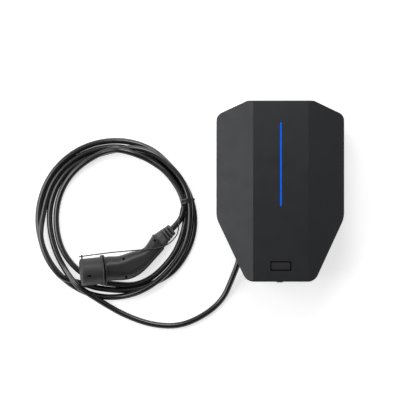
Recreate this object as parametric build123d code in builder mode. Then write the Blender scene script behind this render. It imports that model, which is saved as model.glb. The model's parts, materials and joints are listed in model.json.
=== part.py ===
"""EV wallbox with its own charging lead, lying on its back with the lead wound beside it.

Millimetres. The back of the housing lies on Z=0 and +Z points out of the front, +Y points to the
top of the box, and the origin is the centre of the cover's outline on the back plane.
"""

import os
from math import atan2, cos, degrees, pi, radians, sin, tan

from build123d import *

os.makedirs("parts", exist_ok=True)

# Clearances
seat_gap = 0.1
slide_gap = 0.4

# Front cover: a six-cornered outline, a flat middle panel and two sloping facets
cover_half_width = 137.0
cover_half_height = 193.0
cover_top_half_width = 70.7
cover_foot_half_width = 72.6
cover_shoulder_y = cover_half_height - 29.5
cover_hip_y = 135.3 - cover_half_height
cover_top_radius = 13.0
cover_shoulder_radius = 18.5
cover_hip_radius = 54.0
cover_foot_radius = 23.0
cover_back_z = 46.0
cover_edge_z = 88.0
cover_front_z = 115.0
cover_panel_half_width = 59.0
cover_wall = 3.0
cover_rim_radius = 2.5

# Light strip in the cover
light_length = 177.6
light_width = 4.5
light_centre_y = cover_half_height - 46.8 - light_length / 2
light_flange_width = 10.0
light_flange_thickness = 2.0
led_board_width = 12.0
led_board_thickness = 1.6
led_board_drop = 3.4
led_size = 3.0
led_height = 1.2
led_pitch = 11.0
channel_rib_thickness = 1.6
channel_rib_height = 9.0

# Blank plate in its recess
badge_width = 44.0
badge_height = 19.6
badge_centre_y = 33.6 - cover_half_height
badge_recess_depth = 1.4
badge_plate_border = 2.2
badge_plate_thickness = 1.2
badge_corner_radius = 3.0
badge_recess_radius = 1.5

# Tray that is screwed to the wall
tray_half_width = cover_half_width - 27.0
tray_top_y = cover_half_height - 26.0
tray_top_half_width = cover_top_half_width - 8.7
tray_shoulder_y = cover_shoulder_y - 18.5
tray_entry_y = cover_hip_y - 32.3
tray_tongue_half_width = tray_half_width - 50.0
tray_tongue_foot_half_width = tray_tongue_half_width - 10.0
tray_tongue_y = 15.0 - cover_half_height
tray_corner_radius = 10.0
tray_inner_corner_radius = 8.0
tray_rim_z = 66.0
tray_wall = 4.0
tray_back = 4.0
tray_back_edge_radius = 2.0

# Lid of the tray, its gasket and screws
gasket_thickness = 2.0
gasket_width = 2.4
gasket_border = 0.8
lid_thickness = 3.0
lid_skirt_depth = 5.0
lid_skirt_thickness = 2.0
lid_rib_height = 1.5
lid_rib_thickness = 3.0
lid_rib_pitch = 60.0
lid_cable_slot_width = 14.0
lid_cable_slot_height = 18.0
column_radius = 5.0
lid_screw_radius = 2.0
lid_screw_length = 18.0
lid_screw_head_radius = 4.0
lid_screw_head_height = 2.6

# Holes that hold the tray on the wall
wall_hole_radius = 3.3
wall_boss_radius = 9.0
wall_boss_height = 8.0
wall_hole_top_y = tray_top_y - 17.0
wall_hole_foot_y = tray_tongue_y + 38.0
wall_hole_x = tray_tongue_foot_half_width - 15.0

# Cover hooks at the top, posts on the lid, and the lock screw at the foot
hook_x = 38.0
hook_width = 18.0
hook_thickness = 3.8
lug_length = 14.0
lug_thickness = 6.0
post_x = tray_half_width - 30.0
post_top_y = tray_shoulder_y - 33.0
post_foot_y = tray_entry_y + 38.0
post_radius = 5.5
post_bore_radius = 2.5
lock_z = 57.0
lock_head_radius = 7.4
lock_head_proud = 3.8
lock_head_length = 12.0
lock_shank_radius = 3.0
lock_insert_radius = 4.5
lock_insert_length = 14.0
lock_boss_width = 18.0
lock_boss_length = 18.0
guard_lug_width = 4.7
guard_lug_span = 28.0
guard_lug_proud = 1.7
guard_lug_height = 14.0

# Cable entries
lead_diameter = 13.0
entry_x = tray_half_width - 25.0
entry_z = 30.0
gland_thread_radius = 12.5
gland_flange_across = 30.0
gland_flange_thickness = 6.0
gland_collar_radius = 11.0
gland_collar_length = 12.0
gland_inner_length = 9.0
gland_nut_across = 30.0
gland_nut_length = 23.0
gland_nut_taper = 2.5
gland_corner_trim = 1.1
gland_bore_radius = 9.0
locknut_thickness = 5.0
lead_end_y = tray_entry_y + 14.0

# Rail and power pieces
rail_centre_y = tray_entry_y + 94.0
rail_length = 2 * (tray_half_width - 25.0)
rail_width = 35.0
rail_base_width = 27.0
rail_depth = 7.5
rail_thickness = 1.0
rail_post_x = rail_length / 2 - 15.0
rail_post_width = 16.0
rail_base_z = 12.0
rail_screw_radius = 2.0
rail_screw_head_radius = 4.0
rail_screw_head_height = 2.0
terminal_count = 5
terminal_pitch = 10.0
terminal_width = 9.4
terminal_length = 48.0
terminal_height = 40.0
contactor_x = 12.0 - entry_x
contactor_width = 36.0
contactor_length = 56.0
contactor_front_length = 40.0
contactor_step_height = 25.0
contactor_height = 42.0
contactor_pitch = 8.0
terminal_first_x = contactor_x + contactor_width / 2 + 13.0
wire_entry_height = 12.0
wire_hole_radius = 2.6
wire_hole_depth = 5.0
sensor_y = tray_entry_y + 37.0
sensor_width = 34.0
sensor_length = 16.0
sensor_height = 46.0
sensor_bore_radius = 10.0

# Electronics
board_centre_y = tray_top_y - 50.0
board_width = 100.0
board_height = 46.0
board_thickness = 1.6
board_z = 38.0
board_pillar_radius = 3.0
board_pillar_inset = 6.0
board_screw_radius = 1.5
board_screw_head_radius = 3.0
board_screw_head_height = 1.8
transformer_size = (30.0, 26.0, 16.0)
transformer_x = 32.0
relay_size = (13.0, 28.0, 15.0)
relay_count = 2
relay_pitch = 18.0
relay_first_x = -38.0

# Wires
core_radius = 1.7
core_circle_radius = 4.0
pilot_radius = 1.0
pilot_circle_radius = 5.2
wire_bend = 4.0
ribbon_width = 10.0
ribbon_thickness = 0.8

# Connector: its place on the ground, then sizes in its own frame
connector_place = (-383.0, -171.2, 41.0)
connector_turn = 5.4
connector_tilt = 9.7
handle_wall = 3.0
handle_front_x = 5.5
handle_rim_width = 2.4
handle_rim_proud = 0.9
panel_x = 23.5
panel_length = 30.0
panel_width = 34.0
panel_corner_radius = 5.0
panel_line_width = 1.4
panel_line_depth = 0.5
nose_radius = 24.8
nose_flat = 19.5
nose_tip_x = -38.0
nose_wall = 3.0
nose_spigot_radius = 20.5
nose_spigot_end_x = 20.0
carrier_tip_x = -36.0
carrier_end_x = 24.0
contact_bore_radius = 3.8
contact_bore_small_radius = 2.4
contact_wall = 0.8
contact_recess = 5.0
nose_seal_width = 5.0
nose_seal_x = -6.0
nose_seal_depth = 1.0
cap_outer_radius = 29.5
cap_wall = 3.0
cap_mouth_x = 5.0
cap_end_x = -49.5
cap_end_radius = 4.5
cap_bead_radius = 33.5
cap_bead_width = 9.5
cap_edge_radius = 3.0
cap_eye_x = -43.6
cap_eye_radius = 4.0
cap_eye_thickness = 3.0
cap_eye_y = 34.5
cap_mark_x = -33.6
cap_mark_angle = 18.0
cap_mark_length = 8.5
cap_mark_width = 4.2
cap_mark_depth = 1.0
boot_tip = (158.4, 74.5)
boot_turn = 39.6
boot_face_turn = 33.0
boot_tip_width = 24.5
boot_tip_thickness = 24.0
boot_tip_radius = 8.0
boot_base_inset = 1.0
boot_slot_width = 2.4
boot_slot_pitch = 7.8
boot_slot_count = 3
boot_slot_first = 7.0
boot_core_radius = 8.6
boot_spine_width = 3.0
grip_back = 56.0
grip_length = 9.0
tail_inside = 64.0
handle_screw_radius = 1.7
handle_screw_head_radius = 2.7
handle_screw_boss_radius = 3.8
handle_screw_seat_z = 12.0

# Lead on the ground
ground_lead_z = lead_diameter / 2
coil_centre = (-355.9, -59.1)
coil_lower_height = 13.0
coil_upper_height = 25.8
tie_angle = 14.0
tie_width = 4.6
tie_thickness = 1.2
tie_inner_radius = 145.5
tie_outer_radius = 177.0
tether_diameter = 2.6
tether_stub = 6.4


def between(low, high):
    """Middle of two values."""
    return (low + high) / 2


def route_radii(points):
    """Largest arc for each corner of a cord's route: 0.45 of the shorter run over tan of half the turn."""
    radii = []
    for before, corner, after in zip(points, points[1:], points[2:]):
        first = Vector(corner) - Vector(before)
        second = Vector(after) - Vector(corner)
        half_turn = radians(first.get_angle(second) / 2)
        radii.append(0.45 * min(first.length, second.length) / tan(half_turn))
    return radii


def tube(name, points, radius, radii):
    """Round cord along straight runs and tangent arcs, with its length and volume printed."""
    with BuildPart(mode=Mode.PRIVATE) as cord:
        with BuildLine() as path:
            FilletPolyline(*points, radius=radii)
        route = path.wire()
        with BuildSketch(Plane(origin=route @ 0, z_dir=route % 0)):
            Circle(radius)
        sweep(path=route)
    length = route.length
    share = cord.part.volume / (pi * radius**2 * length)
    print(f"{name}: length {length:.1f}, volume share {share:.4f}")
    print(f"{name}: radii {[round(r, 1) for r in radii]}")
    return cord.part


def save(piece, name):
    """Name a finished piece and write it."""
    piece.label = name
    export_step(piece, f"parts/{name}.step")


# Front cover
facet_angle = atan2(cover_front_z - cover_edge_z, cover_half_width - cover_panel_half_width)


def cover_outline(inset):
    """Six-cornered outline of the cover, set in from its outside."""
    right = [
        (cover_top_half_width, cover_half_height),
        (cover_half_width, cover_shoulder_y),
        (cover_half_width, cover_hip_y),
        (cover_foot_half_width, -cover_half_height),
    ]
    left = [(-x, y) for x, y in reversed(right)]
    radii = [cover_top_radius, cover_shoulder_radius, cover_hip_radius, cover_foot_radius]
    with BuildSketch(mode=Mode.PRIVATE) as outline:
        with BuildLine():
            FilletPolyline(*right, *left, radius=radii + radii[::-1], close=True)
        make_face()
        if inset:
            offset(amount=-inset)
    return outline.sketch


def cover_form(inset):
    """Outside of the cover when inset is 0, and the hollow in it when inset is its wall."""
    outline = cover_outline(inset)
    front_z = cover_front_z - inset
    crease_x = cover_panel_half_width - inset * tan(facet_angle / 2)
    edge_z = cover_edge_z - inset / cos(facet_angle)
    profile = [
        (cover_half_width, cover_back_z),
        (cover_half_width, edge_z),
        (crease_x, front_z),
        (-crease_x, front_z),
        (-cover_half_width, edge_z),
        (-cover_half_width, cover_back_z),
    ]
    with BuildPart(mode=Mode.PRIVATE) as form:
        with BuildSketch(Plane.XY.offset(cover_back_z)):
            add(outline)
        extrude(amount=front_z - cover_back_z)
        with BuildSketch(Plane.XZ):
            with BuildLine():
                Polyline(*profile, close=True)
            make_face()
        extrude(amount=cover_half_height, both=True, mode=Mode.INTERSECT)
        if not inset:
            front_edges = form.edges().filter_by(lambda edge: edge.center().Z > cover_edge_z - 1)
            fillet(front_edges, radius=cover_rim_radius)
    return form.part


cover_outside = cover_form(0)
cover_hollow = cover_form(cover_wall)
cover_inside_z = cover_front_z - cover_wall
lid_seat_z = tray_rim_z + gasket_thickness
lid_top_z = lid_seat_z + lid_thickness
channel_half_width = led_board_width / 2 + seat_gap

with BuildPart() as cover_supports:
    with BuildSketch(Plane.XY.offset(cover_inside_z - channel_rib_height)):
        with Locations(
            (-channel_half_width - channel_rib_thickness / 2, light_centre_y),
            (channel_half_width + channel_rib_thickness / 2, light_centre_y),
        ):
            Rectangle(channel_rib_thickness, light_length + channel_rib_height)
        for y in (post_top_y, post_foot_y):
            with Locations((0, y)):
                Rectangle(2 * post_x, channel_rib_thickness)
                Rectangle(2 * channel_half_width, channel_rib_height, mode=Mode.SUBTRACT)
    extrude(amount=channel_rib_height + cover_wall)
    with BuildSketch(Plane.XY.offset(lid_top_z)):
        with Locations(
            (-post_x, post_top_y), (post_x, post_top_y), (-post_x, post_foot_y), (post_x, post_foot_y)
        ):
            Circle(post_radius)
            Circle(post_bore_radius, mode=Mode.SUBTRACT)
    extrude(amount=cover_front_z - lid_top_z)
    add(cover_outside, mode=Mode.INTERSECT)

with BuildPart() as front_cover:
    add(cover_outside)
    add(cover_hollow, mode=Mode.SUBTRACT)
    add(cover_supports.part)
    with BuildSketch(Plane.XY.offset(cover_front_z)):
        with Locations((0, light_centre_y)):
            Rectangle(light_width + 2 * seat_gap, light_length + 2 * seat_gap)
    extrude(amount=-cover_wall, mode=Mode.SUBTRACT)
    with BuildSketch(Plane.XY.offset(cover_front_z)):
        with Locations((0, badge_centre_y)):
            RectangleRounded(badge_width, badge_height, badge_recess_radius)
    extrude(amount=-badge_recess_depth, mode=Mode.SUBTRACT)
    hook_y = between(cover_half_height, tray_top_y)
    with BuildSketch(Plane.XY.offset(cover_back_z)):
        with Locations((-hook_x, hook_y), (hook_x, hook_y)):
            Rectangle(hook_width, cover_half_height - tray_top_y - 2 * slide_gap)
    extrude(amount=hook_thickness)
    with BuildSketch(Plane.XZ.offset(cover_half_height)):
        guard_x = (guard_lug_span - guard_lug_width) / 2
        with Locations((-guard_x, lock_z), (guard_x, lock_z)):
            RectangleRounded(guard_lug_width, guard_lug_height, guard_lug_width / 3)
    extrude(amount=guard_lug_proud)
    with BuildSketch(Plane.XZ.offset(cover_half_height)):
        with Locations((0, lock_z)):
            Circle(lock_head_radius + slide_gap)
    extrude(amount=-cover_wall, mode=Mode.SUBTRACT)
save(front_cover.part, "front_cover")

with BuildPart() as light_guide:
    with BuildSketch(Plane.XY.offset(cover_inside_z)):
        with Locations((0, light_centre_y)):
            Rectangle(light_width, light_length)
    extrude(amount=cover_wall)
    with BuildSketch(Plane.XY.offset(cover_inside_z - light_flange_thickness)):
        with Locations((0, light_centre_y)):
            Rectangle(light_flange_width, light_length + light_flange_width - light_width)
    extrude(amount=light_flange_thickness)
save(light_guide.part, "light_guide")

led_board_top_z = cover_inside_z - light_flange_thickness - led_board_drop
with BuildPart() as led_board:
    with BuildSketch(Plane.XY.offset(led_board_top_z - led_board_thickness)):
        with Locations((0, light_centre_y)):
            Rectangle(led_board_width, light_length)
    extrude(amount=led_board_thickness)
save(led_board.part, "led_board")

led_count = int(light_length / led_pitch)
with BuildPart() as led_chips:
    with BuildSketch(Plane.XY.offset(led_board_top_z)):
        with Locations((0, light_centre_y)):
            with GridLocations(led_pitch, led_pitch, 1, led_count):
                Rectangle(led_size, led_size)
    extrude(amount=led_height)
save(led_chips.part, "led_chips")

badge_plate_width = badge_width - 2 * badge_plate_border
badge_plate_height = badge_height - 2 * badge_plate_border
with BuildPart() as badge_plate:
    with BuildSketch(Plane.XY.offset(cover_front_z - badge_recess_depth)):
        with Locations((0, badge_centre_y)):
            RectangleRounded(badge_plate_width, badge_plate_height, badge_corner_radius)
    extrude(amount=badge_plate_thickness)
    chamfer(badge_plate.faces().sort_by(Axis.Z)[-1].edges(), length=badge_plate_thickness / 3)
save(badge_plate.part, "badge_plate")


# Tray
def tray_outline(inset):
    """Outline of the tray, with its two entry shoulders and its tongue, set in from its outside."""
    right = [
        (tray_top_half_width, tray_top_y),
        (tray_half_width, tray_shoulder_y),
        (tray_half_width, tray_entry_y),
        (tray_tongue_half_width, tray_entry_y),
        (tray_tongue_foot_half_width, tray_tongue_y),
    ]
    left = [(-x, y) for x, y in reversed(right)]
    radii = [tray_corner_radius] * 3 + [tray_inner_corner_radius, tray_corner_radius]
    with BuildSketch(mode=Mode.PRIVATE) as outline:
        with BuildLine():
            FilletPolyline(*right, *left, radius=radii + radii[::-1], close=True)
        make_face()
        if inset:
            offset(amount=-inset)
    return outline.sketch


tray_outside = tray_outline(0)
tray_inside = tray_outline(tray_wall)
skirt_outside = tray_outline(tray_wall + seat_gap)
skirt_inside = tray_outline(tray_wall + seat_gap + lid_skirt_thickness)
column_inset = tray_wall + column_radius - 1
column_points = [
    (tray_half_width - column_inset, tray_shoulder_y - column_radius),
    (tray_half_width - column_inset, between(tray_shoulder_y, tray_entry_y)),
    (tray_half_width - column_inset, tray_entry_y + 4 * column_radius),
    (tray_tongue_foot_half_width - column_inset, tray_tongue_y + column_inset),
]
column_points += [(-x, y) for x, y in column_points]
column_top_z = lid_seat_z - lid_skirt_depth - seat_gap
wall_hole_points = [(x, y) for x in (-wall_hole_x, wall_hole_x) for y in (wall_hole_top_y, wall_hole_foot_y)]

with BuildPart() as rear_housing:
    with BuildSketch():
        add(tray_outside)
    extrude(amount=tray_rim_z)
    fillet(rear_housing.faces().sort_by(Axis.Z)[0].edges(), radius=tray_back_edge_radius)
    with BuildSketch(Plane.XY.offset(tray_back)):
        add(tray_inside)
    extrude(amount=tray_rim_z - tray_back, mode=Mode.SUBTRACT)
    with BuildSketch(Plane.XY.offset(tray_back)):
        with Locations(*column_points):
            Circle(column_radius)
    extrude(amount=column_top_z - tray_back)
    with BuildSketch(Plane.XY.offset(tray_back)):
        with Locations(*wall_hole_points):
            Circle(wall_boss_radius)
    extrude(amount=wall_boss_height)
    with BuildSketch(Plane.XY.offset(tray_back)):
        with Locations((-rail_post_x, rail_centre_y), (rail_post_x, rail_centre_y)):
            Rectangle(rail_post_width, rail_base_width)
    extrude(amount=rail_base_z - tray_back)
    with BuildSketch(Plane.XZ.offset(-tray_tongue_y - tray_wall)):
        with Locations((0, lock_z)):
            Rectangle(lock_boss_width, 2 * (column_top_z - lock_z))
    extrude(amount=-lock_boss_length)
    with BuildSketch(Plane.XZ.offset(-tray_tongue_y)):
        with Locations((0, lock_z)):
            Circle(lock_insert_radius + seat_gap)
    extrude(amount=-lock_insert_length - seat_gap, mode=Mode.SUBTRACT)
    with BuildSketch(Plane.XY.offset(cover_back_z + hook_thickness + seat_gap)):
        lug_y = tray_top_y + (lug_length - tray_wall) / 2
        with Locations((-hook_x, lug_y), (hook_x, lug_y)):
            Rectangle(hook_width, lug_length + tray_wall)
    extrude(amount=lug_thickness)
    with BuildSketch(Plane.XY.offset(column_top_z)):
        with Locations(*column_points):
            Circle(lid_screw_radius + seat_gap)
    extrude(amount=-lid_screw_length, mode=Mode.SUBTRACT)
    with BuildSketch(Plane.XY.offset(rail_base_z)):
        with Locations((-rail_post_x, rail_centre_y), (rail_post_x, rail_centre_y)):
            Circle(rail_screw_radius + seat_gap)
    extrude(amount=tray_back - rail_base_z, mode=Mode.SUBTRACT)
    with BuildSketch(Plane.XY):
        with Locations(*wall_hole_points):
            Circle(wall_hole_radius)
    extrude(amount=tray_back + wall_boss_height, mode=Mode.SUBTRACT)
    with BuildSketch(Plane.XZ.offset(-tray_entry_y)):
        with Locations((-entry_x, entry_z), (entry_x, entry_z)):
            Circle(gland_thread_radius + seat_gap)
    extrude(amount=-tray_wall, mode=Mode.SUBTRACT)
save(rear_housing.part, "rear_housing")

gasket_outside = tray_outline(gasket_border)
gasket_inside = tray_outline(gasket_border + gasket_width)
with BuildPart() as lid_gasket:
    with BuildSketch(Plane.XY.offset(tray_rim_z)):
        add(gasket_outside)
        add(gasket_inside, mode=Mode.SUBTRACT)
    extrude(amount=gasket_thickness)
save(lid_gasket.part, "lid_gasket")

rib_count = int((tray_shoulder_y - tray_entry_y) / lid_rib_pitch)
with BuildPart() as inner_lid:
    with BuildSketch(Plane.XY.offset(lid_seat_z)):
        add(tray_outside)
    extrude(amount=lid_thickness)
    with BuildSketch(Plane.XY.offset(lid_seat_z)):
        add(skirt_outside)
        add(skirt_inside, mode=Mode.SUBTRACT)
        with Locations(*column_points):
            Circle(column_radius - seat_gap)
        add(skirt_outside, mode=Mode.INTERSECT)
    extrude(amount=-lid_skirt_depth)
    with BuildSketch(Plane.XY.offset(lid_top_z)):
        with Locations((0, between(post_top_y, post_foot_y))):
            with GridLocations(lid_rib_pitch, lid_rib_pitch, 1, rib_count):
                Rectangle(2 * (post_x - post_radius - lid_rib_thickness), lid_rib_thickness)
    extrude(amount=lid_rib_height)
    with BuildSketch(Plane.XY.offset(lid_top_z + lid_rib_height)):
        with Locations((0, board_centre_y - lid_cable_slot_height / 2)):
            SlotCenterToCenter(
                lid_cable_slot_width - lid_cable_slot_height / 3, lid_cable_slot_height
            )
    extrude(amount=-lid_thickness - lid_rib_height, mode=Mode.SUBTRACT)
    with BuildSketch(Plane.XY.offset(lid_top_z)):
        with Locations(*column_points):
            Circle(lid_screw_radius + seat_gap)
    extrude(amount=-lid_thickness - lid_skirt_depth, mode=Mode.SUBTRACT)
save(inner_lid.part, "inner_lid")


def screws(points, seat_z, length, radius, head_radius, head_height, plane=Plane.XY):
    """Group of separate pan-head screws whose heads sit at one height, driven towards -Z of the plane."""
    with BuildPart(mode=Mode.PRIVATE) as group:
        with BuildSketch(plane.offset(seat_z)):
            with Locations(*points):
                Circle(head_radius)
        extrude(amount=head_height)
        with BuildSketch(plane.offset(seat_z)):
            with Locations(*points):
                Circle(radius)
        extrude(amount=-length)
        with BuildSketch(plane.offset(seat_z + head_height)):
            with Locations(*points):
                RegularPolygon(radius, 6)
        extrude(amount=-head_height / 2, mode=Mode.SUBTRACT)
    return group.part


save(
    screws(
        column_points,
        lid_top_z,
        lid_screw_length,
        lid_screw_radius,
        lid_screw_head_radius,
        lid_screw_head_height,
    ),
    "lid_screws",
)

# Lock screw of the cover and the threaded insert that it turns into
with BuildPart() as cover_lock_screw:
    head_end_y = cover_half_height + lock_head_proud
    with BuildSketch(Plane.XZ.offset(head_end_y)):
        with Locations((0, lock_z)):
            Circle(lock_head_radius)
    extrude(amount=-lock_head_length)
    chamfer(cover_lock_screw.faces().sort_by(Axis.Y)[0].edges(), length=lock_head_proud / 4)
    with BuildSketch(Plane.XZ.offset(head_end_y - lock_head_length)):
        with Locations((0, lock_z)):
            Circle(lock_shank_radius)
    extrude(amount=-(head_end_y - lock_head_length + tray_tongue_y + lock_insert_length / 2))
    with BuildSketch(Plane.XZ.offset(head_end_y)):
        with Locations((0, lock_z)):
            RegularPolygon(lock_shank_radius, 6)
    extrude(amount=-lock_head_proud, mode=Mode.SUBTRACT)
save(cover_lock_screw.part, "cover_lock_screw")

with BuildPart() as lock_insert:
    with BuildSketch(Plane.XZ.offset(-tray_tongue_y)):
        with Locations((0, lock_z)):
            Circle(lock_insert_radius)
            Circle(lock_shank_radius + seat_gap, mode=Mode.SUBTRACT)
    extrude(amount=-lock_insert_length)
save(lock_insert.part, "lock_insert")


# Cable entries: body through the shoulder, locknut inside, seal and dome nut outside
def entry_plane(y):
    """Plane across the entries at a height, with its normal away from the box."""
    return Plane.XZ.offset(-y)


flange_end_y = tray_entry_y - gland_flange_thickness
collar_end_y = flange_end_y - gland_collar_length
nut_start_y = flange_end_y - slide_gap
nut_end_y = nut_start_y - gland_nut_length
thread_end_y = tray_entry_y + gland_inner_length
lead_radius = lead_diameter / 2
hexagon_turn = 30


def gland_body(x):
    """Threaded body with its hexagon flange and outer collar."""
    with BuildPart(mode=Mode.PRIVATE) as body:
        with BuildSketch(entry_plane(tray_entry_y)):
            with Locations((x, entry_z)):
                RegularPolygon(gland_flange_across / 2, 6, major_radius=False, rotation=hexagon_turn)
        extrude(amount=gland_flange_thickness)
        with BuildSketch(entry_plane(thread_end_y)):
            with Locations((x, entry_z)):
                Circle(gland_thread_radius)
        extrude(amount=gland_inner_length)
        with BuildSketch(entry_plane(flange_end_y)):
            with Locations((x, entry_z)):
                Circle(gland_collar_radius)
        extrude(amount=gland_collar_length)
        with BuildSketch(entry_plane(thread_end_y)):
            with Locations((x, entry_z)):
                Circle(gland_bore_radius)
        extrude(amount=thread_end_y - collar_end_y, mode=Mode.SUBTRACT)
    return body.part


def gland_seal(x):
    """Rubber sleeve between the body's bore and what passes through it."""
    with BuildPart(mode=Mode.PRIVATE) as seal:
        with BuildSketch(entry_plane(collar_end_y + gland_collar_length)):
            with Locations((x, entry_z)):
                Circle(gland_bore_radius - seat_gap)
                Circle(lead_radius + seat_gap, mode=Mode.SUBTRACT)
        extrude(amount=gland_collar_length)
    return seal.part


def gland_nut(x):
    """Dome nut: a hexagon over the collar that closes in to the bore at its mouth."""
    with BuildPart(mode=Mode.PRIVATE) as nut:
        with BuildSketch(entry_plane(nut_start_y)):
            with Locations((x, entry_z)):
                RegularPolygon(gland_nut_across / 2, 6, major_radius=False, rotation=hexagon_turn)
        extrude(amount=gland_nut_length)
        with BuildSketch(entry_plane(nut_start_y)):
            with Locations((x, entry_z)):
                Circle(gland_nut_across / 2 + gland_corner_trim)
        nut_taper = degrees(atan2(gland_nut_taper, gland_nut_length))
        extrude(amount=gland_nut_length, taper=nut_taper, mode=Mode.INTERSECT)
        with BuildSketch(entry_plane(nut_start_y)):
            with Locations((x, entry_z)):
                Circle(gland_collar_radius + seat_gap)
        extrude(amount=nut_start_y - collar_end_y + seat_gap, mode=Mode.SUBTRACT)
        with BuildSketch(entry_plane(nut_start_y)):
            with Locations((x, entry_z)):
                Circle(lead_radius + seat_gap)
        extrude(amount=gland_nut_length, mode=Mode.SUBTRACT)
    return nut.part


def gland_locknut(x):
    """Hexagon locknut against the inside of the shoulder."""
    with BuildPart(mode=Mode.PRIVATE) as locknut:
        with BuildSketch(entry_plane(tray_entry_y + tray_wall + locknut_thickness)):
            with Locations((x, entry_z)):
                RegularPolygon(gland_flange_across / 2, 6, major_radius=False, rotation=hexagon_turn)
                Circle(gland_thread_radius + seat_gap, mode=Mode.SUBTRACT)
        extrude(amount=locknut_thickness)
    return locknut.part


for side, side_x in (("lead", -entry_x), ("supply", entry_x)):
    save(gland_body(side_x), f"{side}_gland_body")
    save(gland_seal(side_x), f"{side}_gland_seal")
    save(gland_nut(side_x), f"{side}_gland_nut")
    save(gland_locknut(side_x), f"{side}_gland_locknut")

with BuildPart() as supply_gland_plug:
    with BuildSketch(entry_plane(thread_end_y)):
        with Locations((entry_x, entry_z)):
            Circle(lead_radius)
    extrude(amount=thread_end_y - nut_end_y + slide_gap)
    with BuildSketch(entry_plane(nut_end_y - slide_gap)):
        with Locations((entry_x, entry_z)):
            Circle(gland_bore_radius)
    extrude(amount=gland_nut_taper)
save(supply_gland_plug.part, "supply_gland_plug")

with BuildPart() as lead_entry:
    with BuildSketch(entry_plane(lead_end_y)):
        with Locations((-entry_x, entry_z)):
            Circle(lead_radius)
    extrude(amount=lead_end_y - nut_end_y)
save(lead_entry.part, "lead_entry")

# Rail with its screws
rail_top_z = rail_base_z + rail_depth
rail_profile = [
    (-rail_base_width / 2, rail_base_z),
    (rail_base_width / 2, rail_base_z),
    (rail_base_width / 2, rail_top_z - rail_thickness),
    (rail_width / 2, rail_top_z - rail_thickness),
    (rail_width / 2, rail_top_z),
    (rail_base_width / 2 - rail_thickness, rail_top_z),
    (rail_base_width / 2 - rail_thickness, rail_base_z + rail_thickness),
    (-rail_base_width / 2 + rail_thickness, rail_base_z + rail_thickness),
    (-rail_base_width / 2 + rail_thickness, rail_top_z),
    (-rail_width / 2, rail_top_z),
    (-rail_width / 2, rail_top_z - rail_thickness),
    (-rail_base_width / 2, rail_top_z - rail_thickness),
]
rail_start = Plane(origin=(-rail_length / 2, rail_centre_y, 0), x_dir=(0, 1, 0), z_dir=(1, 0, 0))
with BuildPart() as mounting_rail:
    with BuildSketch(rail_start):
        with BuildLine():
            Polyline(*rail_profile, close=True)
        make_face()
    extrude(amount=rail_length)
    with BuildSketch(Plane.XY.offset(rail_base_z)):
        with Locations((-rail_post_x, rail_centre_y), (rail_post_x, rail_centre_y)):
            Circle(rail_screw_radius + seat_gap)
    extrude(amount=rail_thickness, mode=Mode.SUBTRACT)
save(mounting_rail.part, "mounting_rail")

save(
    screws(
        [(-rail_post_x, rail_centre_y), (rail_post_x, rail_centre_y)],
        rail_base_z + rail_thickness,
        rail_base_z - tray_back,
        rail_screw_radius,
        rail_screw_head_radius,
        rail_screw_head_height,
    ),
    "rail_screws",
)

# Supply terminals: separate clamps side by side on the rail
wire_z = rail_top_z + wire_entry_height
terminal_xs = [terminal_first_x + terminal_pitch * k for k in range(terminal_count)]
terminal_centre_x = between(terminal_xs[0], terminal_xs[-1])
with BuildPart() as supply_terminals:
    with BuildSketch(Plane.XY.offset(rail_top_z)):
        with Locations((terminal_centre_x, rail_centre_y)):
            with GridLocations(terminal_pitch, terminal_pitch, terminal_count, 1):
                Rectangle(terminal_width, terminal_length)
    extrude(amount=terminal_height / 2)
    with BuildSketch(Plane.XY.offset(rail_top_z + terminal_height / 2)):
        with Locations((terminal_centre_x, rail_centre_y)):
            with GridLocations(terminal_pitch, terminal_pitch, terminal_count, 1):
                Rectangle(terminal_width, terminal_length * 2 / 3)
    extrude(amount=terminal_height / 2)
    for y in (rail_centre_y + terminal_length / 2, rail_centre_y - terminal_length / 2):
        inward = 1 if y > rail_centre_y else -1
        with BuildSketch(Plane.XZ.offset(-y)):
            with Locations((terminal_centre_x, wire_z)):
                with GridLocations(terminal_pitch, terminal_pitch, terminal_count, 1):
                    Circle(wire_hole_radius)
        extrude(amount=inward * wire_hole_depth, mode=Mode.SUBTRACT)
save(supply_terminals.part, "supply_terminals")

# Contactor: a sealed stepped block with wire holes along both ends
contactor_profile = [
    (-contactor_length / 2, rail_top_z),
    (contactor_length / 2, rail_top_z),
    (contactor_length / 2, rail_top_z + contactor_step_height),
    (contactor_front_length / 2, rail_top_z + contactor_step_height),
    (contactor_front_length / 2, rail_top_z + contactor_height),
    (-contactor_front_length / 2, rail_top_z + contactor_height),
    (-contactor_front_length / 2, rail_top_z + contactor_step_height),
    (-contactor_length / 2, rail_top_z + contactor_step_height),
]
contactor_side = Plane(
    origin=(contactor_x - contactor_width / 2, rail_centre_y, 0), x_dir=(0, 1, 0), z_dir=(1, 0, 0)
)
contactor_poles = 4
with BuildPart() as contactor:
    with BuildSketch(contactor_side):
        with BuildLine():
            Polyline(*contactor_profile, close=True)
        make_face()
    extrude(amount=contactor_width)
    for y in (rail_centre_y + contactor_length / 2, rail_centre_y - contactor_length / 2):
        inward = 1 if y > rail_centre_y else -1
        with BuildSketch(Plane.XZ.offset(-y)):
            with Locations((contactor_x, wire_z)):
                with GridLocations(contactor_pitch, contactor_pitch, contactor_poles, 1):
                    Circle(wire_hole_radius)
        extrude(amount=inward * wire_hole_depth, mode=Mode.SUBTRACT)
save(contactor.part, "contactor")
contactor_first_x = contactor_x - contactor_pitch * (contactor_poles - 1) / 2
contactor_xs = [contactor_first_x + contactor_pitch * k for k in range(contactor_poles)]

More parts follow.
